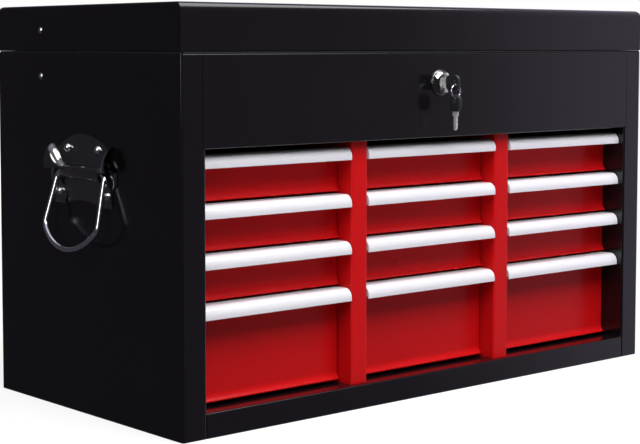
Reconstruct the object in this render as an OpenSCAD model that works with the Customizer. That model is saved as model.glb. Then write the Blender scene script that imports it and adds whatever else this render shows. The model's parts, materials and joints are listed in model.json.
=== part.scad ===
// Portable steel tool chest: three columns of drawers under a lidded top tray.
// Origin at the centre of the underside, +X to the right, -Y to the front, +Z up.

/* [Case] */
// Width of the case, side to side
case_w = 620; // [560:5:720]
// Depth of the case, front to back
case_d = 300; // [270:5:360]
// Height of the case, underside to rim
case_h = 333; // [315:1:380]
// Thickness of the sheet steel
sheet = 1; // [0.8:0.1:1.2]
// Width of the rolled rim of case and lid
hem_w = 4; // [3.6:0.1:5]
// Height of the rolled rim's inner leg
hem_leg = 10; // [7:0.5:14]
// Outside radius of the sheet bends
bend_r = 2; // [1.6:0.1:3]

/* [Front] */
// Width of each front stile
stile_w = 26; // [20:1:36]
// Inset of the seam beside the upper front panel
seam_in = 3; // [2:0.5:6]
// Width of the seam
seam_gap = 0.5; // [0.3:0.1:1]
// Height of the bottom rail
rail_h = 22; // [16:1:30]
// Depth of the ledge behind the rail and of the flange above the drawers
ledge_d = 25; // [20:1:26]
// Width of the posts between the columns
post_w = 20; // [14:1:28]
// Distance of the posts behind the front
post_recess = 8; // [5:0.5:12]

/* [Drawers] */
// Distance from one drawer to the next
row_pitch = 44.1; // [40:0.1:46]
// Rows of shallow drawers
shallow_rows = 3; // [1:1:3]
// Height of the bottom drawer, in shallow drawers
deep_units = 2; // [1:1:2]
// Gap above the top pull
top_gap = 5.5; // [4:0.5:8]
// Gap under the bottom drawer
foot_gap = 3; // [2:0.5:5]
// Gap between a drawer and the pull below it
pull_gap = 2.5; // [1.5:0.5:4]
// Gap beside each drawer front
front_gap = 1; // [0.7:0.1:1.5]
// Distance of the drawer faces behind the front
face_recess = 27.5; // [25:0.5:32]
// Radius of the flare at the foot of a drawer face
cove_r = 9; // [6:0.5:12]
// Angle of that flare
cove_angle = 52; // [35:1:65]
// Depth of the returns at the sides of a drawer face
return_d = 8.5; // [5:0.5:10]
// Free depth behind a drawer
rear_gap = 13; // [9:1:20]
// Length of drawer that stays inside at full travel
slide_hold = 44.5; // [30:0.5:70]

/* [Pulls] */
// Radius of the nose of a pull
nose_r = 9; // [7:0.5:11]
// Height of the nose with its straight lip
nose_h = 12; // [11:0.5:14]
// Wall of the extrusion
pull_t = 1.5; // [1.2:0.1:2]
// Distance of the nose behind the front
nose_recess = 6.5; // [4:0.5:8]
// Length of the leg on the drawer face
leg_h = 12; // [9:0.5:15]
// Length of the clip behind the drawer face
clip_h = 5; // [3:0.5:6]

/* [Runners] */
// Room for a runner on each side of a drawer
runner_room = 8.5; // [7.5:0.5:11]
// Clear height inside a runner
runner_in = 4.5; // [4:0.1:6]
// Distance of a drawer flange below the top of its pull
slide_drop = 10; // [9:0.5:13]
// Play under a drawer flange
slide_play = 0.3; // [0.2:0.05:0.5]
// Play beside a drawer flange
side_play = 0.8; // [0.5:0.1:1.2]
// Gap between a runner's lips and the drawer side
lip_gap = 1.5; // [1:0.1:2]
// Distance of the runners behind the front
runner_in_y = 40; // [38:1:50]

/* [Lid] */
// Height of the lid
lid_h = 42.5; // [36:0.5:60]
// Gap between the rims of lid and case
lid_gap = 1.5; // [1:0.1:2.5]
// Bend radius along the lid's front and back
lid_r = 8; // [5:0.5:12]
// Bend radius along the lid's sides
lid_side_r = 3; // [2:0.5:5]

/* [Hinge] */
// Length of the piano hinge
hinge_len = 560; // [480:10:560]
// Number of knuckles
knuckles = 20; // [12:2:28]
// Radius of the knuckles
knuckle_r = 2.5; // [2.2:0.1:3]
// Radius of the hinge pin
hinge_pin_r = 1.2; // [1:0.1:1.4]
// Gap between neighbouring knuckles
knuckle_gap = 0.4; // [0.3:0.1:0.8]
// Width of a hinge leaf
leaf_w = 18; // [14:1:24]
// Thickness of a hinge leaf
leaf_t = 0.9; // [0.7:0.1:1]

/* [Lid stays] */
// Pivot spacing of a stay link
stay_len = 85; // [80:1:90]
// Distance of the stay rivets ahead of the back
stay_back = 77; // [70:1:82]
// Distance of the case rivets below the rim
stay_drop = 22.3; // [18:0.1:26]
// Distance of the lid rivets above the lid's rim
stay_rise = 19.5; // [17:0.1:23]
// Width of a link
link_w = 12; // [11:0.5:14]
// Thickness of a link
link_t = 1.5; // [1.2:0.1:2]
// Radius of the rivet necks
neck_r = 1.95; // [1.6:0.05:2.2]
// Radius of the rivet heads
rivet_r = 3; // [2.6:0.1:3.6]

/* [Lock] */
// Distance of the lock below the rim
lock_drop = 29; // [27:0.5:34]
// Radius of the rosette
rosette_r = 12.5; // [11:0.5:14]
// Height of the rosette
rosette_h = 5; // [4:0.5:6.5]
// Radius of the lock barrel
barrel_r = 8; // [7.5:0.5:9]
// Length of the lock barrel behind the front
barrel_l = 14; // [12:0.5:16]
// Radius of the turning plug
plug_r = 6; // [5.6:0.1:6.4]
// Length of the cam
cam_l = 26; // [22:1:28]
// Width of the cam
cam_w = 10; // [8:0.5:11]
// Thickness of the cam
cam_t = 2; // [1.5:0.1:2.5]

/* [Keys] */
// Height of a key's bow
bow_w = 20; // [17:0.5:22]
// Length of a key's bow
bow_l = 16; // [15:0.5:19]
// Thickness of a key's bow
bow_t = 3.4; // [2.6:0.1:4]
// Length of the blade
blade_l = 14; // [12:0.5:16]
// Width of the blade
blade_w = 6; // [5:0.5:7]
// Thickness of the blade
blade_t = 1.8; // [1.5:0.1:2]
// Radius of the hole in the bow
bow_hole_r = 3; // [2.4:0.1:3.2]
// Radius of the key ring
ring_r = 6; // [5.8:0.1:7.5]
// Radius of the ring's wire
ring_wire_r = 0.7; // [0.5:0.1:0.9]

/* [Handles] */
// Height of the bail's axis
bail_z = 223.5; // [200:0.5:235]
// Radius of the bail's wire
wire_r = 2.5; // [2:0.1:2.6]
// Distance between the bail's legs at the top
bail_top_w = 77; // [74:1:84]
// Widest distance between the bail's legs
bail_w = 87; // [84:1:96]
// Length of the bail below its axis
bail_l = 71; // [64:1:80]
// Radius of the bail's bowed grip
grip_r = 56; // [50:1:64]
// Radius of the bends between its legs and the grip
grip_bend_r = 10; // [8:1:14]
// Half width of the handle plate
plate_half = 54; // [52:1:58]
// Height of the plate above the bail's axis
plate_up = 36; // [34:1:42]
// Depth of the plate below the bail's axis
plate_down = 30; // [28:1:36]
// Thickness of the handle plate
plate_t = 1.2; // [1:0.1:1.5]
// Radius of the saddle over the bail
saddle_r = 7; // [6.6:0.1:8]
// Half length of the saddle between the horns
saddle_half = 31; // [29:0.5:33]
// Half length of the saddle over the horns
horn_half = 50; // [47:0.5:51]
// Height of the horns above the bail's axis
horn_up = 26; // [22:1:28]
// Depth of the horns off the wall
horn_out = 12; // [10:0.5:14]

/* [Hidden] */
$fn = 48;
BAYS = ["left", "middle", "right"];
SIDES = ["left", "right"];
ROWS = shallow_rows + 1;
DRAWER_NODES = [for (c = [0:len(BAYS) - 1]) for (r = [0:ROWS - 1]) str("drawer_", BAYS[c], "_", r + 1)];
PULL_NODES = [for (c = [0:len(BAYS) - 1]) for (r = [0:ROWS - 1]) str("pull_", BAYS[c], "_", r + 1)];

BLACK = [0.09, 0.09, 0.10];
RED = [0.74, 0.10, 0.13];
ALU = [0.92, 0.92, 0.95];
CHROME = [0.80, 0.81, 0.83];
ZINC = [0.62, 0.63, 0.65];
BOW_BLACK = [0.05, 0.05, 0.06];

eps = 0.02;
run_fit = 0.05;
clear_gap = 0.3;

side = case_w / 2;
front = -case_d / 2;
back = case_d / 2;
in_r = bend_r - sheet;

bay_w = (case_w - 2 * stile_w - 2 * post_w) / 3;
bay_step = bay_w + post_w;
open_side = side - stile_w;
panel_half = open_side + seam_in;
open_top = rail_h + foot_gap + (shallow_rows + deep_units) * row_pitch + top_gap;
tray_z = open_top + sheet;
flange_d = 12;

face_y = front + face_recess;
front_w = bay_w - 2 * front_gap;
box_half = bay_w / 2 - runner_room;
drawer_back = back - rear_gap;
runner_y0 = front + runner_in_y;
runner_y1 = back - 6;
runner_w = runner_room - lip_gap;
slide_lip = runner_room - sheet - side_play;
stop_t = 2;
stop_h = runner_in - slide_play - sheet - 0.7;
tab_l = 6;
tab_h = stop_h - 0.1 + 0.1 * sheet;
tab_y = drawer_back - slide_hold;

lid_z = case_h + lid_gap;
total_h = lid_z + lid_h;
hinge_y = back + knuckle_r;
hinge_z = case_h + lid_gap / 2;
knuckle_l = hinge_len / knuckles;

stay_y = back - stay_back;
stay_case_z = case_h - stay_drop;
stay_lid_z = lid_z + stay_rise;
stay_angle = asin((stay_lid_z - stay_case_z) / 2 / stay_len);
knee_y = stay_y - stay_len * cos(stay_angle);
knee_z = (stay_case_z + stay_lid_z) / 2;
lower_x = side - hem_w - 0.4 - link_t;
upper_x = lower_x - clear_gap - link_t;
knee_play = 1.2;
link_play = 0.15;
inner_head_t = 1.2;
rivet_h = 1.6;

lock_z = case_h - lock_drop;
rim_t = 1.4;
plug_sink = 0.4;
keyway_play = 0.2;
tail_w = 6;
cam_gap = 0.3;
cam_z0 = -barrel_l - cam_gap - cam_t;
screw_r = 1.5;
screw_head_r = 4;
screw_head_h = 2.2;
nut_t = 4;
catch_gap = 1.4;
catch_t = 1.5;
catch_x = 12;
catch_w = 16;
catch_lip_gap = 1.2;
catch_y = front + barrel_l + cam_gap + cam_t + screw_head_h + catch_gap;
catch_top = lid_z + lid_h - 9;
catch_step = lid_z + hem_leg + 1;
catch_lip_z = lock_z - cam_w / 2 - catch_lip_gap - catch_t;

shoulder_w = 10;
shoulder_l = 4;
hole_end = 4.5;
key_seat = 0.4;
ring_in_r = ring_r - ring_wire_r;
ring_sag = ring_in_r - sqrt(ring_in_r * ring_in_r - bow_t * bow_t / 4);
hang = bow_hole_r - ring_wire_r - run_fit - ring_sag;
bow_z0 = rosette_h + key_seat + shoulder_l;
hole_out = bow_z0 + bow_l - hole_end;
ring_z = lock_z - hang - ring_r;
spare_hole_z = ring_z - ring_r - hang;

bail_off = wire_r + clear_gap;
upper_screw = [25, 22];
lower_screw = [39, -19];
head_r = 4;
head_h = 3.5;
stud_r = 2;
stop_off = plate_t + head_h - bail_off;
stop_dist = norm([stop_off, lower_screw[1]]);
bail_rest = atan(stop_off / -lower_screw[1]) + asin((wire_r + clear_gap) / stop_dist);
bail_corner_r = 7;
bend_lap = 0.1;
horn_clear = 0.6;
horn_bead = 0.3;
horn_tuck = 0.5;
horn_steps = 9;

function bay_x(c) = (c - 1) * bay_step;
function row_top(r) = open_top - top_gap - r * row_pitch;
function face_bottom(r) = r < ROWS - 1 ? row_top(r) - row_pitch + pull_gap : rail_h + foot_gap;
function slide_z(r) = row_top(r) - slide_drop;
function smooth(t) = t * t * (3 - 2 * t);

// ---- helpers ----

// Outline in X and Z, pulled along Y
module along_y(y0, y1) {
    translate([0, y1, 0]) rotate([90, 0, 0]) linear_extrude(y1 - y0) children();
}

// Outline in Y and Z, pulled along X
module along_x(x0, x1) {
    translate([x0, 0, 0]) rotate([90, 0, 90]) linear_extrude(x1 - x0) children();
}

// Outline in X and Y, pulled along Z
module along_z(z0, z1) {
    translate([0, 0, z0]) linear_extrude(z1 - z0) children();
}

// What is drawn for the right side, put on either side
module on_side(s) {
    mirror([s == "left" ? 1 : 0, 0, 0]) children();
}

module box(low, high) {
    translate(low) cube(high - low);
}

// Quarter of a bent sheet, centred on the bend, in the quadrant that sx and sy name
module bend(r, t, sx, sy) {
    intersection() {
        difference() {
            circle(r);
            circle(r - t);
        }
        translate([sx > 0 ? 0 : -r, sy > 0 ? 0 : -r]) square(r);
    }
}

module rounded_rect(w, h, r) {
    square([w - 2 * r, h], center = true);
    square([w, h - 2 * r], center = true);
    for (x = [-1, 1]) for (y = [-1, 1]) translate([x * (w / 2 - r), y * (h / 2 - r)]) circle(r);
}

// Upright wall of height h with a rolled rim; its outer face is at 0 and the roll goes towards +u
module rimmed_wall(h) {
    square([sheet, h - hem_w / 2]);
    translate([hem_w / 2, h - hem_w / 2]) {
        bend(hem_w / 2, sheet, -1, 1);
        bend(hem_w / 2, sheet, 1, 1);
    }
    translate([hem_w - sheet, h - hem_leg]) square([sheet, hem_leg - hem_w / 2]);
}

module dome_head(r, h) {
    ball_r = (r * r + h * h) / (2 * h);
    intersection() {
        translate([0, 0, h - ball_r]) sphere(ball_r, $fn = 96);
        cylinder(r = r + 1, h = h + 1);
    }
}

// Points a shank along +X for the right side
module to_x() {
    rotate([0, 90, 0]) children();
}

// ---- case ----

module side_panel(s) {
    stile_top = open_side + seam_in + seam_gap;
    color(BLACK) on_side(s) difference() {
        union() {
            along_y(front + hem_w, back - hem_w) translate([side, 0]) mirror([1, 0]) rimmed_wall(case_h);
            box([side - sheet, front + bend_r, 0], [side, front + hem_w, case_h]);
            box([side - sheet, back - hem_w, 0], [side, back, case_h]);
            along_z(0, case_h) translate([side - bend_r, front + bend_r]) bend(bend_r, sheet, 1, -1);
            box([open_side + bend_r, front, 0], [side - bend_r, front + sheet, open_top]);
            along_x(stile_top, side - bend_r) translate([front, 0]) rimmed_wall(case_h);
            along_z(0, open_top) translate([open_side + bend_r, front + bend_r]) bend(bend_r, sheet, -1, -1);
            box([open_side, front + bend_r, sheet], [open_side + sheet, front + flange_d, open_top]);
            box([side - flange_d, back - 2 * sheet, sheet], [side - sheet, back - sheet, case_h - hem_leg - 2]);
        }
        translate([side, stay_y, stay_case_z]) to_x() cylinder(r = neck_r, h = 4 * sheet, center = true);
        for (p = [upper_screw, lower_screw]) for (m = [-1, 1])
            translate([side, m * p[0], bail_z + p[1]]) to_x()
                cylinder(r = stud_r + run_fit, h = 4 * sheet, center = true);
    }
}

module bottom_pan() {
    color(BLACK) {
        box([-side + sheet, front + bend_r, 0], [side - sheet, back - sheet, sheet]);
        box([-open_side, front + sheet, 0], [open_side, front + bend_r, sheet]);
        for (s = SIDES) on_side(s)
            box([side - 2 * sheet, front + bend_r, 0], [side - sheet, back - 2 * sheet, flange_d]);
        along_x(-open_side, open_side) translate([front, 0]) rail_outline();
    }
}

// Front rail: up from the floor, back over the ledge and down again
module rail_outline() {
    square([sheet, rail_h - bend_r]);
    translate([bend_r, rail_h - bend_r]) bend(bend_r, sheet, -1, 1);
    translate([bend_r, rail_h - sheet]) square([ledge_d - 2 * bend_r, sheet]);
    translate([ledge_d - bend_r, rail_h - bend_r]) bend(bend_r, sheet, 1, 1);
    translate([ledge_d - sheet, 0]) square([sheet, rail_h - bend_r]);
}

module back_panel() {
    color(BLACK) {
        along_x(-side + hem_w, side - hem_w) translate([back, 0]) mirror([1, 0]) difference() {
            rimmed_wall(case_h);
            square([sheet, sheet]);
        }
        for (s = SIDES) on_side(s)
            box([side - hem_w, back - sheet, sheet], [side - sheet, back, case_h]);
        box([-side + sheet, back - sheet, 0], [side - sheet, back, sheet]);
    }
}

module front_panel() {
    color(BLACK) difference() {
        along_x(-panel_half, panel_half) translate([front, 0]) {
            difference() {
                rimmed_wall(case_h);
                square([sheet, open_top + bend_r]);
            }
            translate([bend_r, open_top + bend_r]) bend(bend_r, sheet, -1, -1);
            translate([bend_r, open_top]) square([ledge_d - bend_r, sheet]);
        }
        translate([0, front, lock_z]) rotate([90, 0, 0])
            cylinder(r = barrel_r + run_fit, h = 4 * sheet, center = true);
    }
}

// Flat sheet that lies on the front panel's flange, the liners' flanges and the posts
module tray_floor() {
    color(BLACK) box([-side + sheet, front + bend_r, tray_z], [side - sheet, back - 2 * sheet, tray_z + sheet]);
}

// Channel that carries a drawer flange, on a wall whose face is at X = 0, open towards +X
module runner(r) {
    z0 = slide_z(r) - slide_play - sheet;
    h = runner_in + 2 * sheet;
    along_y(runner_y0, runner_y1) translate([0, z0]) {
        square([sheet, h]);
        square([runner_w, sheet]);
        translate([0, h - sheet]) square([runner_w, sheet]);
    }
    box([0, runner_y0, z0 + h - sheet - stop_h], [runner_w, runner_y0 + stop_t, z0 + h - sheet]);
}

// Keeps clear of the ledge below and of the flange above, behind the front
module frame_notch() {
    for (z = [[-1, rail_h], [open_top, open_top + 2 * sheet]])
        box([-side, front - 1, z[0]], [side, front + ledge_d, z[1]]);
}

// Folded post with two webs that run to the back; runners on both sides
module divider(c) {
    x = (c - 0.5) * bay_step;
    color(RED) translate([x, 0, 0]) difference() {
        union() {
            along_z(sheet, tray_z) for (m = [0, 1]) mirror([m, 0]) {
                translate([post_w / 2 - bend_r, front + post_recess + bend_r]) bend(bend_r, sheet, 1, -1);
                translate([0, front + post_recess]) square([post_w / 2 - bend_r, sheet]);
                translate([post_w / 2 - sheet, front + post_recess + bend_r])
                    square([sheet, case_d - post_recess - bend_r - sheet]);
            }
            for (m = [0, 1]) mirror([m, 0, 0]) translate([post_w / 2, 0, 0])
                for (r = [0:ROWS - 1]) runner(r);
        }
        translate([-x, 0, 0]) frame_notch();
    }
}

module liner(s) {
    color(BLACK) on_side(s) difference() {
        union() {
            box([open_side, front + flange_d, sheet], [open_side + sheet, back - sheet, tray_z]);
            box([open_side, front + flange_d, tray_z - sheet], [open_side + flange_d, back - 2 * sheet, tray_z]);
            translate([open_side, 0, 0]) mirror([1, 0, 0]) for (r = [0:ROWS - 1]) runner(r);
        }
        box([0, front, open_top], [panel_half, front + ledge_d, tray_z]);
    }
}

// ---- drawers ----

// Face that flares forward at its foot; Y and Z from the face's own foot
module face_outline(h) {
    drop = (cove_r + sheet) * sin(cove_angle);
    reach = 3 * cove_r;
    translate([0, drop]) square([sheet, h - drop]);
    translate([-cove_r, drop]) intersection() {
        difference() {
            circle(cove_r + sheet);
            circle(cove_r);
        }
        polygon([[0, 0], [reach, 0], [reach * cos(cove_angle), -reach * sin(cove_angle)]]);
    }
    translate([-cove_r * (1 - cos(cove_angle)), 0]) square([cove_r, sheet]);
}

module drawer(c, r) {
    foot = face_bottom(r);
    top = row_top(r) - pull_t;
    shelf = slide_z(r);
    color(RED) translate([bay_x(c), 0, 0]) {
        along_x(-front_w / 2, front_w / 2) translate([face_y, foot]) face_outline(top - foot);
        box([-box_half, face_y, foot], [box_half, drawer_back, foot + sheet]);
        box([-box_half, drawer_back - sheet, foot], [box_half, drawer_back, shelf]);
        for (m = [0, 1]) mirror([m, 0, 0]) {
            box([front_w / 2 - sheet, face_y, foot + cove_r], [front_w / 2, face_y + return_d, top - clip_h - 1]);
            box([box_half - sheet, face_y, foot], [box_half, drawer_back, shelf + sheet]);
            box([box_half, runner_y0 + 3, shelf], [box_half + slide_lip, drawer_back, shelf + sheet]);
            box([box_half + lip_gap, tab_y, shelf], [box_half + slide_lip, tab_y + tab_l, shelf + sheet + tab_h]);
        }
    }
}

// Drawer pull: hooded nose with a straight lip, web, leg in front of the face and clip behind it
module pull_outline() {
    nose_y = nose_recess + nose_r;
    translate([nose_y, -nose_r]) bend(nose_r, pull_t, -1, 1);
    translate([nose_recess, -nose_h + pull_t / 2]) square([pull_t, nose_h - nose_r - pull_t / 2]);
    translate([nose_recess + pull_t / 2, -nose_h + pull_t / 2]) circle(pull_t / 2);
    translate([nose_y, -pull_t]) square([face_recess + sheet + pull_t - nose_y, pull_t]);
    translate([face_recess - pull_t, -pull_t - leg_h]) square([pull_t, leg_h]);
    translate([face_recess + sheet, -pull_t - clip_h]) square([pull_t, clip_h]);
}

module pull(c, r) {
    x = bay_x(c);
    color(ALU) along_x(x - front_w / 2, x + front_w / 2) translate([front, row_top(r)]) pull_outline();
}

// ---- lid and hinge ----

module round_top(half, h, r) {
    translate([-half, 0]) square([2 * half, h - r]);
    translate([-half + r, 0]) square([2 * (half - r), h]);
    for (m = [-1, 1]) translate([m * (half - r), h - r]) circle(r);
}

// Box whose top edges are bent, shrunk by t all round
module lid_form(t) {
    intersection() {
        along_x(-side + t, side - t) translate([0, lid_z]) round_top(case_d / 2 - t, lid_h - t, lid_r - t);
        along_y(front + t, back - t) translate([0, lid_z]) round_top(side - t, lid_h - t, lid_side_r - t);
    }
}

// Rolls of the four walls; the long ones lap the ends of the short ones by a sheet's thickness
module lid_rim() {
    lap = side - hem_w + sheet;
    for (m = [0, 1]) mirror([0, m, 0]) along_x(-lap, lap) translate([front, lid_z]) lid_roll();
    for (m = [0, 1]) mirror([m, 0, 0])
        along_y(front + hem_w, back - hem_w) translate([side, lid_z]) mirror([1, 0]) lid_roll();
}

// Rolled lower rim of the lid, outer face at 0
module lid_roll() {
    translate([hem_w / 2, hem_w / 2]) {
        bend(hem_w / 2, sheet, -1, -1);
        bend(hem_w / 2, sheet, 1, -1);
    }
    translate([hem_w - sheet, hem_w / 2]) square([sheet, hem_leg - hem_w / 2]);
}

module lid_shell() {
    color(BLACK) difference() {
        union() {
            difference() {
                lid_form(0);
                lid_form(sheet);
                translate([0, 0, lid_z]) {
                    cube([case_w - 2 * hem_w, 2 * case_d, hem_w], center = true);
                    cube([2 * case_w, case_d - 2 * hem_w, hem_w], center = true);
                }
            }
            lid_rim();
        }
        for (s = SIDES) on_side(s) translate([side, stay_y, stay_lid_z]) to_x()
            cylinder(r = neck_r, h = 4 * sheet, center = true);
    }
}

// Knuckles of one leaf: every second one, starting at first
module knuckle_row(first) {
    for (i = [first:2:knuckles - 1])
        translate([-hinge_len / 2 + i * knuckle_l + knuckle_gap / 2, hinge_y, hinge_z]) to_x()
            cylinder(r = knuckle_r, h = knuckle_l - knuckle_gap);
}

module knuckle_bore() {
    translate([-hinge_len / 2 - 1, hinge_y, hinge_z]) to_x() cylinder(r = hinge_pin_r + run_fit, h = hinge_len + 2);
}

// Clears the other leaf's knuckles
module knuckle_clearance(first) {
    for (i = [first:2:knuckles - 1])
        box([-hinge_len / 2 + i * knuckle_l - knuckle_gap / 2, back - 1, hinge_z - knuckle_r - 1],
            [-hinge_len / 2 + (i + 1) * knuckle_l + knuckle_gap / 2, back + leaf_t + 1, hinge_z + knuckle_r + 1]);
}

module hinge_leaf_case() {
    color(BLACK) difference() {
        union() {
            box([-hinge_len / 2, back, hinge_z - leaf_w], [hinge_len / 2, back + leaf_t, hinge_z]);
            knuckle_row(0);
        }
        knuckle_clearance(1);
        knuckle_bore();
        box([-side, back - 1, hinge_z + eps], [side, back + leaf_t, hinge_z + leaf_w]);
    }
}

module hinge_leaf_lid() {
    color(BLACK) difference() {
        union() {
            box([-hinge_len / 2, back, hinge_z], [hinge_len / 2, back + leaf_t, hinge_z + leaf_w]);
            knuckle_row(1);
        }
        knuckle_clearance(0);
        knuckle_bore();
        box([-side, back - 1, hinge_z - leaf_w], [side, back + leaf_t, hinge_z - eps]);
    }
}

module hinge_pin() {
    color(ZINC) translate([-hinge_len / 2, hinge_y, hinge_z]) to_x() cylinder(r = hinge_pin_r, h = hinge_len);
}

// Strap that hangs from the lid's front, with a lip for the cam to turn over
module lid_catch() {
    color(ZINC) {
        box([catch_x, front + sheet, catch_step], [catch_x + catch_w, front + sheet + catch_t, catch_top]);
        box([catch_x, front + sheet, catch_step], [catch_x + catch_w, catch_y + catch_t, catch_step + catch_t]);
        box([catch_x, catch_y, catch_lip_z], [catch_x + catch_w, catch_y + catch_t, catch_step + catch_t]);
        box([catch_x, front + barrel_l - cam_gap, catch_lip_z],
            [catch_x + catch_w, catch_y + catch_t, catch_lip_z + catch_t]);
    }
}

// ---- lid stays ----

module link_outline(hole_a, hole_b) {
    difference() {
        union() {
            translate([0, -link_w / 2]) square([stay_len, link_w]);
            for (x = [0, stay_len]) translate([x, 0]) circle(link_w / 2);
        }
        circle(hole_a);
        translate([stay_len, 0]) circle(hole_b);
    }
}

module stay_lower(s) {
    color(ZINC) on_side(s) along_x(lower_x, lower_x + link_t) translate([stay_y, stay_case_z])
        rotate(180 - stay_angle) link_outline(neck_r + run_fit, neck_r);
}

module stay_upper(s) {
    color(ZINC) on_side(s) along_x(upper_x, upper_x + link_t) translate([stay_y, stay_lid_z])
        rotate(180 + stay_angle) link_outline(neck_r + run_fit, neck_r + knee_play);
}

// Shouldered rivet through a wall, carrying the link whose outer face is at link_x + link_t
module wall_rivet(link_x) {
    collar_r = 4;
    translate([side, 0, 0]) to_x() dome_head(rivet_r, rivet_h);
    translate([link_x - link_play, 0, 0]) to_x() cylinder(r = neck_r, h = side - link_x + link_play);
    translate([link_x + link_t + link_play, 0, 0]) to_x()
        cylinder(r = collar_r, h = side - sheet - link_x - link_t - link_play);
    translate([link_x - link_play - inner_head_t, 0, 0]) to_x() cylinder(r = collar_r, h = inner_head_t);
}

module stay_rivets_case() {
    color(CHROME) for (s = SIDES) on_side(s) translate([0, stay_y, stay_case_z]) wall_rivet(lower_x);
}

module stay_rivets_lid() {
    color(CHROME) for (s = SIDES) on_side(s) translate([0, stay_y, stay_lid_z]) wall_rivet(upper_x);
}

module stay_knee_rivet(s) {
    knee_head_r = 5;
    color(CHROME) on_side(s) translate([0, knee_y, knee_z]) {
        translate([upper_x - link_play, 0, 0]) to_x() cylinder(r = neck_r, h = lower_x + link_t - upper_x + link_play);
        translate([upper_x - link_play - inner_head_t, 0, 0]) to_x() cylinder(r = knee_head_r, h = inner_head_t);
    }
}

// ---- lock and keys: drawn with +Z out of the front, +Y up ----

module at_lock() {
    translate([0, front, lock_z]) rotate([90, 0, 0]) children();
}

module lock_body() {
    dome_r = rosette_r - 1;
    face_r = plug_r + 2.4;
    rise = rosette_h - rim_t;
    dome_c = (dome_r * dome_r - face_r * face_r - rise * rise) / (2 * rise);
    color(CHROME) at_lock() rotate_extrude() {
        difference() {
            union() {
                translate([0, -barrel_l]) square([barrel_r, barrel_l]);
                square([rosette_r - rim_t / 2, rim_t]);
                translate([rosette_r - rim_t / 2, rim_t / 2]) circle(rim_t / 2);
                intersection() {
                    translate([0, rim_t - dome_c]) circle(norm([dome_r, dome_c]), $fn = 120);
                    square([rosette_r - rim_t / 2, rosette_h]);
                }
            }
            translate([-1, -barrel_l - 1]) square([1 + plug_r + run_fit, barrel_l + rosette_h + 2]);
            translate([-rosette_r, -barrel_l]) square([rosette_r, barrel_l + rosette_h]);
        }
    }
}

module lock_nut() {
    color(ZINC) at_lock() translate([0, 0, -sheet - nut_t]) difference() {
        cylinder(r = barrel_r + 4, h = nut_t, $fn = 6);
        translate([0, 0, -1]) cylinder(r = barrel_r, h = nut_t + 2);
    }
}

module lock_plug() {
    keyway = [blade_t + 2 * keyway_play, blade_w + 2 * keyway_play];
    depth = blade_l + 1 - plug_sink;
    tail_l = cam_gap + cam_t;
    color(CHROME) at_lock() difference() {
        union() {
            translate([0, 0, -barrel_l]) cylinder(r = plug_r, h = barrel_l + rosette_h - plug_sink);
            translate([-tail_w / 2, -tail_w / 2, -barrel_l - tail_l]) cube([tail_w, tail_w, tail_l + 1]);
        }
        translate([-keyway[0] / 2, -keyway[1] / 2, rosette_h - plug_sink - depth])
            cube([keyway[0], keyway[1], depth + 1]);
        translate([0, 0, -barrel_l - tail_l - 1]) cylinder(r = screw_r, h = tail_l + 2);
    }
}

module lock_cam() {
    hub_r = cam_w / 2 + 1;
    color(ZINC) at_lock() translate([0, 0, cam_z0]) linear_extrude(cam_t) difference() {
        union() {
            circle(hub_r);
            translate([-cam_w / 2, 0]) square([cam_w, cam_l - cam_w / 2]);
            translate([0, cam_l - cam_w / 2]) circle(cam_w / 2);
        }
        square(tail_w, center = true);
    }
}

module cam_screw() {
    color(ZINC) at_lock() translate([0, 0, cam_z0]) {
        cylinder(r = screw_r, h = cam_t + cam_gap + 1);
        mirror([0, 0, 1]) difference() {
            cylinder(r = screw_head_r, h = screw_head_h);
            for (a = [0, 90]) rotate(a) translate([-0.5, -2.5, screw_head_h - 1]) cube([1, 5, 2]);
        }
    }
}

// Key with the shoulder's front at Z = 0, blade down and bow up
module key_form() {
    bite = 1.6;
    bites = [2.5, 5.5, 8.5, 11];
    translate([-blade_t / 2, 0, 0]) rotate([90, 0, 90]) linear_extrude(blade_t) difference() {
        union() {
            translate([-shoulder_w / 2, 0]) square([shoulder_w, shoulder_l + 1]);
            translate([-blade_w / 2, -blade_l + blade_w / 2]) square([blade_w, blade_l - blade_w / 2]);
            translate([0, -blade_l + blade_w / 2]) circle(blade_w / 2);
        }
        for (b = bites) translate([blade_w / 2, -b]) rotate(45) square(bite, center = true);
    }
    translate([-bow_t / 2, 0, shoulder_l + bow_l / 2]) rotate([90, 0, 90]) linear_extrude(bow_t) difference() {
        rounded_rect(bow_w, bow_l, 6);
        translate([0, bow_l / 2 - hole_end]) circle(bow_hole_r);
    }
}

module key() {
    color(BOW_BLACK) at_lock() translate([0, 0, rosette_h + key_seat]) key_form();
}

module key_ring() {
    color(CHROME) translate([0, front - hole_out, ring_z]) rotate([90, 0, 0])
        rotate_extrude() translate([ring_r, 0]) circle(ring_wire_r, $fn = 24);
}

module spare_key() {
    color(BOW_BLACK) translate([0, front - hole_out, spare_hole_z - shoulder_l - bow_l + hole_end]) key_form();
}

// ---- side handles ----

function horn_z(t) = saddle_r + horn_bead + (horn_up - saddle_r - horn_bead) * smooth(t);
function horn_x(t) = saddle_r + horn_bead + (horn_out - saddle_r - horn_bead) * smooth(t);
function horn_y(t) = saddle_half - horn_tuck + (horn_half - saddle_half + horn_tuck) * t;
function horn_mid(t) = (horn_z(t) - saddle_r) / 2;
function horn_half_h(t) = (horn_z(t) + saddle_r) / 2;

// Point of the horn's skin at t along it and turned by a from the wall above, shrunk by in
function horn_point(t, a, in) =
    [(horn_x(t) - in) * sin(a), horn_y(t), horn_mid(t) + (horn_half_h(t) - in) * cos(a)];

// Angle at which the horn's skin starts inside the plate, and at which it ends above the bail's wire
function horn_start(t) = asin(plate_t / 2 / horn_x(t));
function horn_end(t) = acos((wire_r + horn_clear - horn_mid(t)) / (horn_half_h(t) - plate_t));

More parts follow.
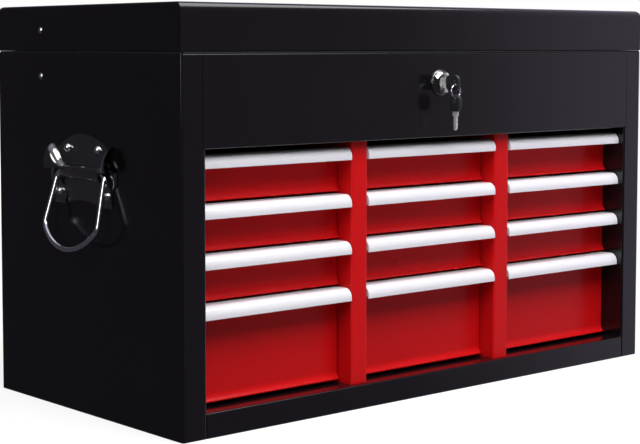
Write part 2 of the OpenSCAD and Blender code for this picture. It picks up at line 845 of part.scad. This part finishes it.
// Horn of the saddle: a sheet that swells from a bead on the half tube to an open mouth; its first row is
// tucked into the wall of the tube
module horn() {
    arc = 10;
    n = horn_steps;
    rows = [for (i = [0:n]) let (
        t = max(0, i - 1) / (n - 1), tuck = i == 0 ? 1 : 0, a0 = horn_start(t), da = (horn_end(t) - a0) / arc
    ) concat(
        [for (j = [0:arc]) horn_point(t, a0 + da * j, 2 * horn_bead * tuck) - [0, horn_tuck * tuck, 0]],
        [for (j = [arc:-1:0]) horn_point(t, a0 + da * j, plate_t) - [0, horn_tuck * tuck, 0]]
    )];
    m = 2 * (arc + 1);
    quads = concat(
        [for (i = [0:n - 1]) for (j = [0:m - 1]) let (k = (j + 1) % m)
            [i * m + j, i * m + k, (i + 1) * m + k, (i + 1) * m + j]],
        [for (j = [0:arc - 1]) [j, m - 1 - j, m - 2 - j, j + 1]],
        [for (j = [0:arc - 1]) [n * m + j, n * m + j + 1, n * m + m - 2 - j, n * m + m - 1 - j]]
    );
    triangles = [for (q = quads) each [[q[0], q[2], q[1]], [q[0], q[3], q[2]]]];
    polyhedron([for (row = rows) each row], triangles, convexity = 6);
}

// Window of the plate under the saddle and its horns; its edge runs inside their wall
module saddle_window() {
    half = saddle_r - plate_t / 2;
    translate([-saddle_half, -half]) square([2 * saddle_half, 2 * half]);
    for (m = [0, 1]) mirror([m, 0]) intersection() {
        polygon(concat(
            [[horn_y(0), -saddle_r - 1]],
            [for (i = [0:horn_steps]) let (t = i / horn_steps) [horn_y(t), horn_z(t) - plate_t / 2]],
            [[horn_half, -saddle_r - 1]]
        ));
        translate([saddle_half - eps, -saddle_r - 1]) square([horn_half - plate_t - saddle_half, plate_up]);
    }
}

module plate_outline() {
    arch_h = plate_up - saddle_r;
    arch_r = (plate_half * plate_half + arch_h * arch_h) / (2 * arch_h);
    foot_r = 98;
    ear = lower_screw[0] + 8;
    difference() {
        intersection() {
            translate([0, plate_up - arch_r]) circle(arch_r, $fn = 160);
            polygon([
                [-plate_half, plate_up], [-plate_half, -8], [-ear, -14], [-ear, -plate_down],
                [ear, -plate_down], [ear, -14], [plate_half, -8], [plate_half, plate_up]
            ]);
        }
        translate([0, -plate_down + 4.5 - foot_r]) circle(foot_r, $fn = 160);
        saddle_window();
        for (p = [upper_screw, lower_screw]) for (m = [-1, 1])
            translate([m * p[0], p[1]]) circle(stud_r + run_fit);
    }
}

module handle_plate(s) {
    color(BLACK) on_side(s) translate([side, 0, bail_z]) {
        along_x(0, plate_t) plate_outline();
        along_y(-saddle_half, saddle_half) {
            bend(saddle_r, plate_t, 1, 1);
            bend(saddle_r, plate_t, 1, -1);
        }
        for (m = [0, 1]) mirror([0, m, 0]) horn();
    }
}

module handle_fasteners() {
    stud_l = plate_t + sheet + 4;
    nut_h = 2.4;
    color(CHROME) for (s = SIDES) on_side(s)
        for (p = [upper_screw, lower_screw]) for (m = [-1, 1])
            translate([side + plate_t, m * p[0], bail_z + p[1]]) {
                to_x() dome_head(head_r, head_h);
                mirror([1, 0, 0]) to_x() cylinder(r = stud_r, h = stud_l);
                mirror([1, 0, 0]) translate([plate_t + sheet, 0, 0]) to_x() cylinder(r = head_r, h = nut_h, $fn = 6);
            }
}

// Straight wire from a to b in the Y-Z plane
module wire(a, b) {
    d = b - a;
    translate([0, a[0], a[1]]) rotate([-atan2(d[0], d[1]), 0, 0]) cylinder(r = wire_r, h = norm(d));
}

// Arc of wire about c in the Y-Z plane, from angle a0, over sweep
module wire_arc(c, r, a0, sweep, wire_w) {
    translate([0, c[0], c[1]]) rotate([90, 0, 90]) rotate(a0) rotate_extrude(angle = sweep)
        translate([r, 0]) circle(wire_w);
}

// Tight bend: the wire is drawn out a touch thinner there, and its ends reach a little into their neighbours
module wire_bend(c, r, a0, sweep) {
    lap = bend_lap / r * 180 / PI;
    wire_arc(c, r, a0 - lap, sweep + 2 * lap, wire_r - eps);
}

// Closed bail in the Y-Z plane with its top bar on the Y axis: two legs that lean outwards and a bowed grip
module bail_form() {
    top = bail_top_w / 2;
    grip = [0, grip_r - bail_l];
    turn = acos((bail_w / 2 - grip_bend_r) / (grip_r - grip_bend_r));
    foot = grip + (grip_r - grip_bend_r) * [cos(turn), -sin(turn)];
    hip = [top, 0] - foot;
    lean = atan2(hip[1], hip[0]) - acos(grip_bend_r / norm(hip));
    dir = [cos(lean), sin(lean)];
    corner = [top - bail_corner_r * (1 - sin(lean)) / cos(lean), -bail_corner_r];
    wire([-corner[0], 0], [corner[0], 0]);
    wire_arc(grip, grip_r, turn - 180, 180 - 2 * turn, wire_r);
    for (m = [0, 1]) mirror([0, m, 0]) {
        wire_bend(corner, bail_corner_r, lean, 90 - lean);
        wire(corner + bail_corner_r * dir, foot + grip_bend_r * dir);
        wire_bend(foot, grip_bend_r, -turn, turn + lean);
    }
}

module bail(s) {
    color(CHROME) on_side(s) translate([side + bail_off, 0, bail_z]) rotate([0, -bail_rest, 0]) bail_form();
}

// ---- nodes ----

for (s = SIDES) {
    side_panel(s);
    liner(s);
    stay_lower(s);
    stay_upper(s);
    stay_knee_rivet(s);
    handle_plate(s);
    bail(s);
}
for (c = [0:len(BAYS) - 1]) for (r = [0:ROWS - 1]) {
    drawer(c, r);
    pull(c, r);
}
bottom_pan();
back_panel();
front_panel();
tray_floor();
divider(0);  // divider_left
divider(1);  // divider_right
hinge_leaf_case();
hinge_pin();
hinge_leaf_lid();
lid_shell();
lid_catch();
stay_rivets_case();
stay_rivets_lid();
lock_body();
lock_nut();
lock_plug();
lock_cam();
cam_screw();
key();
key_ring();
spare_key();
handle_fasteners();
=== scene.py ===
# Dresses the three-column drawer chest: enamel, pulls, chrome fittings, keys and studio
import json
import math

import bpy
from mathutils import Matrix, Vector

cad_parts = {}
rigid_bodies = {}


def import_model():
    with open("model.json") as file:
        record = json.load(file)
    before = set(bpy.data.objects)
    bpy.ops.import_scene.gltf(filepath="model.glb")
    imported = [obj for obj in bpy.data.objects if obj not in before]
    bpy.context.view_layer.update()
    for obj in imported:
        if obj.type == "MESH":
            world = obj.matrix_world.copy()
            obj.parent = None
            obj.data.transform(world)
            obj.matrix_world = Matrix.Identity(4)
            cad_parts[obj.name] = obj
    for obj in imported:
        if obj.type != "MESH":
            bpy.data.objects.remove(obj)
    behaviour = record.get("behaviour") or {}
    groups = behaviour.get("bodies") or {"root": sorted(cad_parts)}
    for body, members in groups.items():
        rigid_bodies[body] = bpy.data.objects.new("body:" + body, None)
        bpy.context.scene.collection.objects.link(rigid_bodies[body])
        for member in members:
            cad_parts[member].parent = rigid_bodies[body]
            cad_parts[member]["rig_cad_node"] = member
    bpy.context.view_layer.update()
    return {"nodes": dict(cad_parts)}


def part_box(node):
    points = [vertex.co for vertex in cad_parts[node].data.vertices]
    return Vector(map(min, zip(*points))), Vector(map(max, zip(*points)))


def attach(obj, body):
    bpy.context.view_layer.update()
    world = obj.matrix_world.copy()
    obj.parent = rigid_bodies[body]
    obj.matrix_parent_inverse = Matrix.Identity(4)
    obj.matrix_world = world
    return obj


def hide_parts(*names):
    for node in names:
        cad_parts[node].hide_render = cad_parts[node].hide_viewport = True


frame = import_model()
nodes = frame["nodes"]
scene = bpy.context.scene
print("frame loaded:", len(nodes), "nodes")


# helpers for shader nodes

def addNode(tree, kind, place, **values):
    node = tree.nodes.new(kind)
    node.location = place
    for name, value in values.items():
        node.inputs[name].default_value = value
    return node


def remap(tree, value, fromSpan, toSpan, place):
    node = addNode(tree, "ShaderNodeMapRange", place)
    for name, level in zip(("From Min", "From Max", "To Min", "To Max"), (*fromSpan, *toSpan)):
        node.inputs[name].default_value = level
    tree.links.new(value, node.inputs["Value"])
    return node


def colorRamp(tree, value, stops, place):
    # stops are pairs of a position and a colour
    ramp = addNode(tree, "ShaderNodeValToRGB", place)
    points = ramp.color_ramp.elements
    while len(points) < len(stops):
        points.new(0.5)
    for point, (position, color) in zip(points, stops):
        point.position = position
        point.color = (*color, 1)
    tree.links.new(value, ramp.inputs["Fac"])
    return ramp.outputs["Color"]


def startMaterial(name, look):
    material = bpy.data.materials.new(name)
    material.use_nodes = True
    material.diffuse_color = (*look["color"], 1)
    shader = material.node_tree.nodes["Principled BSDF"]
    shader.inputs["Base Color"].default_value = (*look["color"], 1)
    shader.inputs["Metallic"].default_value = look.get("metallic", 0)
    shader.inputs["IOR"].default_value = look.get("ior", 1.5)
    return material, material.node_tree, shader


def objectCoords(tree, stretch=(1, 1, 1)):
    coords = addNode(tree, "ShaderNodeTexCoord", (-1200, 0))
    mapping = addNode(tree, "ShaderNodeMapping", (-1000, 0), Scale=stretch)
    tree.links.new(coords.outputs["Object"], mapping.inputs["Vector"])
    return mapping.outputs["Vector"]


def noise(tree, vector, size, place, detail):
    texture = addNode(tree, "ShaderNodeTexNoise", place, Scale=1 / size, Detail=detail)
    tree.links.new(vector, texture.inputs["Vector"])
    return texture.outputs["Fac"]


def bump(tree, height, depth, place, under=None):
    node = addNode(tree, "ShaderNodeBump", place, Strength=1.0, Distance=depth)
    tree.links.new(height, node.inputs["Height"])
    if under:
        tree.links.new(under, node.inputs["Normal"])
    return node.outputs["Normal"]


noiseSpan = (0.3, 0.7)  # nearly all of a noise lies between these


def setColor(tree, shader, pattern, look):
    stops = tuple(zip(noiseSpan, (look["dark"], look["color"])))
    tree.links.new(colorRamp(tree, pattern, stops, (-500, 250)), shader.inputs["Base Color"])


def setRoughness(tree, shader, pattern, look):
    spread = remap(tree, pattern, noiseSpan, look["roughness"], (-500, 0))
    tree.links.new(spread.outputs["Result"], shader.inputs["Roughness"])


# finishes

def enamel(name, look):
    # sprayed and baked paint: fine orange peel over the slight waviness of the sheet
    material, tree, shader = startMaterial(name, look)
    vector = objectCoords(tree)
    wave = noise(tree, vector, look["waveSize"], (-800, -500), detail=1)
    peel = noise(tree, vector, look["peelSize"], (-800, -250), detail=2)
    cloud = noise(tree, vector, look["cloudSize"], (-800, 150), detail=3)
    setColor(tree, shader, cloud, look)
    setRoughness(tree, shader, cloud, look)
    waved = bump(tree, wave, look["waveDepth"], (-500, -500))
    peeled = bump(tree, peel, look["peelDepth"], (-250, -250), under=waved)
    tree.links.new(peeled, shader.inputs["Normal"])
    return material


def brushedMetal(name, look):
    # drawn or brushed metal: long fine lines, and cloudy differences in gloss
    material, tree, shader = startMaterial(name, look)
    along = objectCoords(tree, look["stretch"])
    lines = noise(tree, along, look["lineSize"], (-800, -250), detail=3)
    cloud = noise(tree, objectCoords(tree), look["cloudSize"], (-800, 150), detail=2)
    setColor(tree, shader, lines, look)
    setRoughness(tree, shader, cloud, look)
    tree.links.new(bump(tree, lines, look["lineDepth"], (-250, -250)), shader.inputs["Normal"])
    return material


def hazed(name, look):
    # plating, plastic or rubber: faint haze in colour and gloss over a fine ripple
    material, tree, shader = startMaterial(name, look)
    vector = objectCoords(tree)
    haze = noise(tree, vector, look["hazeSize"], (-800, 150), detail=3)
    ripple = noise(tree, vector, look["rippleSize"], (-800, -250), detail=1)
    setColor(tree, shader, haze, look)
    setRoughness(tree, shader, haze, look)
    tree.links.new(bump(tree, ripple, look["rippleDepth"], (-250, -250)), shader.inputs["Normal"])
    return material


blackEnamel = enamel("blackEnamel", {
    "color": (0.0042, 0.0036, 0.0046), "dark": (0.0036, 0.0031, 0.004),
    "roughness": (0.14, 0.18), "cloudSize": 0.08,
    "peelSize": 0.0022, "peelDepth": 0.000005, "waveSize": 0.12, "waveDepth": 0.0001,
})
redEnamel = enamel("redEnamel", {
    "color": (0.55, 0.0047, 0.0064), "dark": (0.535, 0.0044, 0.006), "ior": 1.3,
    "roughness": (0.27, 0.3), "cloudSize": 0.12,
    "peelSize": 0.002, "peelDepth": 0.000004, "waveSize": 0.1, "waveDepth": 0.00003,
})
pullAluminium = brushedMetal("pullAluminium", {
    "color": (0.85, 0.83, 0.875), "dark": (0.82, 0.81, 0.865), "metallic": 0.16,
    "roughness": (0.1, 0.14), "cloudSize": 0.02,
    "stretch": (0.015, 1, 1), "lineSize": 0.0005, "lineDepth": 0.000004,
})
smokedChrome = hazed("smokedChrome", {
    "color": (0.27, 0.275, 0.262), "dark": (0.24, 0.245, 0.232), "metallic": 1,
    "roughness": (0.07, 0.11), "hazeSize": 0.01, "rippleSize": 0.012, "rippleDepth": 0.00002,
})
chromePlate = hazed("chromePlate", {
    "color": (0.83, 0.84, 0.86), "dark": (0.78, 0.79, 0.81), "metallic": 1,
    "roughness": (0.05, 0.09), "hazeSize": 0.006, "rippleSize": 0.004, "rippleDepth": 0.000008,
})
zincPlate = hazed("zincPlate", {
    "color": (0.64, 0.65, 0.66), "dark": (0.54, 0.55, 0.57), "metallic": 0.9,
    "roughness": (0.3, 0.42), "hazeSize": 0.003, "rippleSize": 0.0008, "rippleDepth": 0.000006,
})
bladeNickel = hazed("bladeNickel", {
    "color": (0.86, 0.85, 0.83), "dark": (0.78, 0.77, 0.75), "metallic": 0.6,
    "roughness": (0.26, 0.36), "hazeSize": 0.003, "rippleSize": 0.0008, "rippleDepth": 0.000006,
})
keyBowPlastic = hazed("keyBowPlastic", {
    "color": (0.012, 0.0115, 0.013), "dark": (0.009, 0.009, 0.01),
    "roughness": (0.45, 0.55), "hazeSize": 0.002, "rippleSize": 0.0006, "rippleDepth": 0.00001,
})
# near-black rubber for the strip in the lid gap, which is painted shade there
lidGapShadeRubber = hazed("lidGapShadeRubber", {
    "color": (0.006, 0.006, 0.006), "dark": (0.0045, 0.0045, 0.0045),
    "roughness": (0.7, 0.85), "hazeSize": 0.004, "rippleSize": 0.0012, "rippleDepth": 0.00002,
})

# each finish with the beginnings of its nodes' names
finishes = {
    blackEnamel: ("side_panel", "bottom_pan", "back_panel", "front_panel", "tray_floor", "liner",
                  "hinge_leaf", "lid_shell", "handle_plate"),
    redEnamel: ("divider", "drawer"),
    pullAluminium: ("pull",),
    chromePlate: ("stay_knee", "stay_rivets", "lock_plug", "key", "handle_fasteners", "bail"),
    smokedChrome: ("lock_body",),
    zincPlate: ("hinge_pin", "lid_catch", "stay_lower", "stay_upper", "lock_nut", "lock_cam",
                "cam_screw", "spare_key"),
}
for material, stems in finishes.items():
    for name, node in nodes.items():
        if name.startswith(stems):
            for spot in node.material_slots:
                spot.material = material
print("finishes set on the packed nodes")


# helpers for pieces

copyCare = {"merge": 0.000002, "flatAngle": 0.4}


def workCopy(nodeName, pieceName):
    # own mesh, corners merged, flat faces joined again, so that edges can be rounded
    node = nodes[nodeName]
    bpy.ops.object.select_all(action="DESELECT")
    piece = node.copy()
    piece.data = node.data.copy()
    piece.name = piece.data.name = pieceName
    if "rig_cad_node" in piece:
        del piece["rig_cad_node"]
    scene.collection.objects.link(piece)
    piece.select_set(True)
    bpy.context.view_layer.objects.active = piece
    bpy.ops.mesh.customdata_custom_splitnormals_clear()
    bpy.ops.object.mode_set(mode="EDIT")
    bpy.ops.mesh.select_all(action="SELECT")
    bpy.ops.mesh.remove_doubles(threshold=copyCare["merge"])
    bpy.ops.mesh.dissolve_limited(angle_limit=math.radians(copyCare["flatAngle"]))
    bpy.ops.object.mode_set(mode="OBJECT")
    return piece


def clearSelection(piece, kind):
    # nothing selected in edit mode, then back, so that code can select by place
    bpy.ops.object.mode_set(mode="EDIT")
    bpy.ops.mesh.select_mode(type=kind)
    bpy.ops.mesh.select_all(action="DESELECT")
    bpy.ops.object.mode_set(mode="OBJECT")


def roundEdges(piece, look):
    edge = piece.modifiers.new("edgeRounding", "BEVEL")
    edge.width = look["edge"]
    edge.segments = 2
    edge.limit_method = "ANGLE"
    edge.angle_limit = math.radians(look["edgeAngle"])
    edge.harden_normals = False
    bpy.context.view_layer.objects.active = piece
    bpy.ops.object.modifier_apply(modifier=edge.name)
    smoothAngle = look.get("smoothAngle", look["edgeAngle"])
    bpy.ops.object.shade_smooth_by_angle(angle=math.radians(smoothAngle))


# pressed handle plates: the horns' skin smoothed, the sheet's edges eased
handlePlate = {"edge": 0.00045, "edgeAngle": 60, "smoothAngle": 38}
for side in ("left", "right"):
    plate = workCopy("handle_plate_" + side, "handlePlate" + side.title())
    roundEdges(plate, handlePlate)
    plate.material_slots[0].material = smokedChrome
    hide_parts("handle_plate_" + side)
    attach(plate, "case")
print("handle plates smoothed")

# near-black rubber strip on the case's rolled rim, just short of the lid's rim: a dark piece put in
# the gap under the lid as painted shade, so that the gap reads dark
lidGapShadeStrip = {
    "reach": (0.309, 0.149), "width": 0.002, "low": 0.0002, "gap": 0.00012,
    "edge": 0.0003, "edgeAngle": 40,
}
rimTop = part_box("front_panel")[1][2]
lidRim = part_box("lid_shell")[0][2]
lidGapStripHeight = lidRim - rimTop + lidGapShadeStrip["low"] - lidGapShadeStrip["gap"]
bpy.ops.object.select_all(action="DESELECT")
bpy.ops.mesh.primitive_plane_add(size=2, location=(0, 0, rimTop - lidGapShadeStrip["low"]))
lidGapStrip = bpy.context.object
lidGapStrip.name = lidGapStrip.data.name = "lidGapShadeStrip"
lidGapStrip.scale = (*lidGapShadeStrip["reach"], 1)
bpy.ops.object.transform_apply(location=True, rotation=True, scale=True)
bpy.ops.object.mode_set(mode="EDIT")
bpy.ops.mesh.select_all(action="SELECT")
bpy.ops.mesh.inset(thickness=lidGapShadeStrip["width"])
bpy.ops.mesh.delete(type="FACE")
bpy.ops.mesh.select_all(action="SELECT")
bpy.ops.mesh.extrude_region_move(TRANSFORM_OT_translate={"value": (0, 0, lidGapStripHeight)})
bpy.ops.mesh.select_all(action="SELECT")
bpy.ops.mesh.normals_make_consistent(inside=False)
bpy.ops.object.mode_set(mode="OBJECT")
# the strip's near-black finish is painted shade for the gap under the lid
lidGapStrip.data.materials.append(lidGapShadeRubber)
roundEdges(lidGapStrip, lidGapShadeStrip)
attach(lidGapStrip, "case")
print("seal laid on the rim")

# keys: moulded black bow with rounded edges on a plated blade, the spare one slim all along;
# the bow begins at bowStart, along axis 1 (Y) or 2 (Z), and the wall of its hole keeps its shape
keyLook = {"edge": 0.00035, "edgeAngle": 40, "holeWall": 0.0034, "bowOverlap": 0.0002}
keys = {
    "key": {
        "piece": "lockKey", "body": "lock_plug", "hole": (0, -0.1709, 0.304),
        "axis": 1, "sign": -1, "bowStart": -0.1594, "slim": (1, 1, 0.76), "slimBlade": False,
    },
    "spare_key": {
        "piece": "spareKey", "body": "spare_key", "hole": (0, -0.1709, 0.29),
        "axis": 2, "sign": 1, "bowStart": 0.2766, "slim": (1, 0.66, 1), "slimBlade": True,
    },
}


def onBow(spec, place):
    return spec["sign"] * (place[spec["axis"]] - spec["bowStart"]) > -keyLook["bowOverlap"]


for nodeName, spec in keys.items():
    key = workCopy(nodeName, spec["piece"])
    clearSelection(key, "VERT")
    hole = spec["hole"]
    for corner in key.data.vertices:
        offHole = math.hypot(corner.co[1] - hole[1], corner.co[2] - hole[2])
        slimmed = spec["slimBlade"] or onBow(spec, corner.co)
        corner.select = slimmed and offHole > keyLook["holeWall"]
    bpy.ops.object.mode_set(mode="EDIT")
    bpy.ops.transform.resize(value=spec["slim"], center_override=hole)
    bpy.ops.object.mode_set(mode="OBJECT")
    roundEdges(key, keyLook)
    key.data.materials.clear()
    key.data.materials.append(bladeNickel)
    key.data.materials.append(keyBowPlastic)
    for face in key.data.polygons:
        face.material_index = 1 if onBow(spec, face.center) else 0
    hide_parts(nodeName)
    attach(key, spec["body"])
print("keys made")

# upright collar on the key, a bar with a foot at each end, just off the rosette
keyCollar = {
    "at": (0, -0.15815, 0.304), "bar": (0.0024, 0.0021, 0.016), "foot": 0.0014, "footDeep": 1.6,
    "edge": 0.0003, "edgeAngle": 40,
    "upright": 0.9,  # a face whose normal rises more than this is an end
}
bpy.ops.object.select_all(action="DESELECT")
bpy.ops.mesh.primitive_cube_add(size=1, location=keyCollar["at"])
collar = bpy.context.object
collar.name = collar.data.name = "keyCollar"
collar.scale = keyCollar["bar"]
bpy.ops.object.transform_apply(location=True, rotation=True, scale=True)
for end in (1, -1):
    clearSelection(collar, "FACE")
    for face in collar.data.polygons:
        face.select = end * face.normal[2] > keyCollar["upright"]
    footMove = {"value": (0, 0, end * keyCollar["foot"])}
    bpy.ops.object.mode_set(mode="EDIT")
    bpy.ops.mesh.extrude_region_move()
    bpy.ops.transform.resize(value=(1, keyCollar["footDeep"], 1), center_override=keyCollar["at"])
    bpy.ops.mesh.extrude_region_move(TRANSFORM_OT_translate=footMove)
    bpy.ops.object.mode_set(mode="OBJECT")
collar.data.materials.append(bladeNickel)
roundEdges(collar, keyCollar)
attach(collar, "lock_plug")
print("key collar made")

# floor: pale and matt under the chest, with its shadow, and plain white further off
floorLook = {
    "size": 30, "drop": 0.0003, "color": (0.26, 0.26, 0.263), "lift": 0.76, "fade": (0.6, 1.9),
}
bpy.ops.object.select_all(action="DESELECT")
bpy.ops.mesh.primitive_plane_add(size=floorLook["size"], location=(0, 0, -floorLook["drop"]))
floor = bpy.context.object
floor.name = "floor"
floor.visible_glossy = False
floorPaint = bpy.data.materials.new("floorPaint")
floorPaint.use_nodes = True
tree = floorPaint.node_tree
tree.nodes.remove(tree.nodes["Principled BSDF"])
coords = addNode(tree, "ShaderNodeTexCoord", (-900, 0))
distance = addNode(tree, "ShaderNodeVectorMath", (-700, 0))
distance.operation = "LENGTH"
fade = remap(tree, distance.outputs["Value"], floorLook["fade"], (0, 1), (-500, 0))
fade.interpolation_type = "SMOOTHSTEP"
path = addNode(tree, "ShaderNodeLightPath", (-700, 300))
lift = addNode(tree, "ShaderNodeMath", (-300, 200))
lift.operation = "MULTIPLY"
lift.inputs[1].default_value = floorLook["lift"]
far = addNode(tree, "ShaderNodeMath", (-300, 0))
far.operation = "MULTIPLY"
matt = addNode(tree, "ShaderNodeBsdfDiffuse", (-300, -200), Color=(*floorLook["color"], 1))
glow = addNode(tree, "ShaderNodeEmission", (-100, 200), Color=(1, 1, 1, 1))
white = addNode(tree, "ShaderNodeEmission", (-100, -350), Color=(1, 1, 1, 1), Strength=1.0)
lifted = addNode(tree, "ShaderNodeAddShader", (100, 100))
faded = addNode(tree, "ShaderNodeMixShader", (300, 0))
links = tree.links
links.new(coords.outputs["Object"], distance.inputs[0])
links.new(path.outputs["Is Camera Ray"], lift.inputs[0])
links.new(path.outputs["Is Camera Ray"], far.inputs[0])
links.new(fade.outputs["Result"], far.inputs[1])
links.new(lift.outputs["Value"], glow.inputs["Strength"])
links.new(matt.outputs["BSDF"], lifted.inputs[0])
links.new(glow.outputs["Emission"], lifted.inputs[1])
links.new(far.outputs["Value"], faded.inputs["Fac"])
links.new(lifted.outputs["Shader"], faded.inputs[1])
links.new(white.outputs["Emission"], faded.inputs[2])
links.new(faded.outputs["Shader"], tree.nodes["Material Output"].inputs["Surface"])
floor.data.materials.append(floorPaint)
print("floor laid")

# lamps: soft boxes, the rear one not mirrored in the fittings
lamps = {
    "overheadSoftbox": {
        "at": (0.5, -0.5, 1.75), "aim": (0.05, -0.2, 0.25), "size": (1.6, 1.0), "power": 18,
    },
    "frontSoftbox": {
        "at": (-0.15, -1.15, 1.65), "aim": (0, -0.15, 0.2), "size": (1.5, 1.1), "power": 40,
    },
    "rearSoftbox": {
        "at": (-0.5, 1.7, 1.35), "aim": (0, 0.15, 0.2), "size": (1.4, 0.8), "power": 16,
        "mirrored": False,
    },
    "leftSoftbox": {
        "at": (-1.6, -0.45, 0.8), "aim": (-0.2, -0.1, 0.25), "size": (0.5, 1.1), "power": 8,
    },
}
for name, lamp in lamps.items():
    light = bpy.data.lights.new(name, "AREA")
    light.shape = "RECTANGLE"
    light.size, light.size_y = lamp["size"]
    light.energy = lamp["power"]
    lampObject = bpy.data.objects.new(name, light)
    lampObject.visible_glossy = lamp.get("mirrored", True)
    scene.collection.objects.link(lampObject)
    lampObject.location = lamp["at"]
    away = [a - b for a, b in zip(lamp["at"], lamp["aim"])]
    tilt = math.atan2(math.hypot(away[0], away[1]), away[2])
    lampObject.rotation_euler = (tilt, 0, math.atan2(away[0], -away[1]))
print("lamps hung")

# surroundings: white to the camera, an even fill, and for the gloss a dark room that is
# bright on the right, above and behind; a stop at 0 faces away, one at 1 straight on
room = {
    "fill": 0.08, "tint": (1.0, 0.9, 1.15), "behind": (0.65, 0.76, 0.0),
    "acrossStops": (
        (0.0, 0.045), (0.65, 0.05), (0.78, 0.12), (0.851, 0.13),
        (0.869, 0.27), (0.887, 0.55), (1.0, 0.8),
    ),
    "upStops": ((0.0, 0.0), (0.82, 0.0), (0.93, 0.5), (1.0, 0.7)),
    "behindStops": (
        (0.0, 0.0), (0.8, 0.0), (0.87, 0.1), (0.955, 0.1), (0.985, 0.8), (1.0, 1.0),
    ),
}
world = bpy.data.worlds.new("studio")
scene.world = world
world.use_nodes = True
tree = world.node_tree
links = tree.links
tree.nodes.remove(tree.nodes["Background"])
coords = addNode(tree, "ShaderNodeTexCoord", (-1000, 0))
split = addNode(tree, "ShaderNodeSeparateXYZ", (-800, 0))
links.new(coords.outputs["Generated"], split.inputs["Vector"])
towards = addNode(tree, "ShaderNodeVectorMath", (-800, -450))
towards.operation = "DOT_PRODUCT"
towards.inputs[1].default_value = room["behind"]
links.new(coords.outputs["Generated"], towards.inputs[0])


def roomRamp(direction, stops, place):
    facing = remap(tree, direction, (-1, 1), (0, 1), (place[0] - 200, place[1]))
    tinted = [(at, [level * part for part in room["tint"]]) for at, level in stops]
    return colorRamp(tree, facing.outputs["Result"], tinted, place)


across = roomRamp(split.outputs["X"], room["acrossStops"], (-400, 150))
above = roomRamp(split.outputs["Z"], room["upStops"], (-400, -150))
behind = roomRamp(towards.outputs["Value"], room["behindStops"], (-400, -450))
mirrored = across
for row, part in enumerate((above, behind)):
    summed = addNode(tree, "ShaderNodeMix", (-50, -300 * row))
    summed.data_type = "RGBA"
    summed.blend_type = "ADD"
    summed.inputs["Factor"].default_value = 1
    links.new(mirrored, summed.inputs[6])  # 6 and 7 are the two colours, 2 is their sum
    links.new(part, summed.inputs[7])
    mirrored = summed.outputs[2]
path = addNode(tree, "ShaderNodeLightPath", (-400, 500))
fill = addNode(tree, "ShaderNodeBackground", (150, -200), Color=(1, 1, 1, 1), Strength=room["fill"])
seen = addNode(tree, "ShaderNodeBackground", (150, 300), Color=(1, 1, 1, 1), Strength=1.0)
gloss = addNode(tree, "ShaderNodeBackground", (150, 50), Strength=1.0)
inGloss = addNode(tree, "ShaderNodeMixShader", (350, 0))
inView = addNode(tree, "ShaderNodeMixShader", (550, 100))
links.new(mirrored, gloss.inputs["Color"])
links.new(path.outputs["Is Glossy Ray"], inGloss.inputs["Fac"])
links.new(fill.outputs["Background"], inGloss.inputs[1])
links.new(gloss.outputs["Background"], inGloss.inputs[2])
links.new(path.outputs["Is Camera Ray"], inView.inputs["Fac"])
links.new(inGloss.outputs["Shader"], inView.inputs[1])
links.new(seen.outputs["Background"], inView.inputs[2])
links.new(inView.outputs["Shader"], tree.nodes["World Output"].inputs["Surface"])
print("surroundings set")

# camera at eye level of a seated person, to the left of the front
view = {
    "at": (-1.11666, -1.24609, 0.33984), "turn": (85.9134, 0, -40.7154),
    "lens": 90.668, "sensor": 36, "shift": (0.0247, -0.0961),
}
cameraData = bpy.data.cameras.new("camera")
cameraData.lens = view["lens"]
cameraData.sensor_width = view["sensor"]
cameraData.shift_x, cameraData.shift_y = view["shift"]
camera = bpy.data.objects.new("camera", cameraData)
scene.collection.objects.link(camera)
camera.location = view["at"]
camera.rotation_euler = [math.radians(angle) for angle in view["turn"]]
scene.camera = camera
scene.view_settings.view_transform = "Standard"
print("camera set")
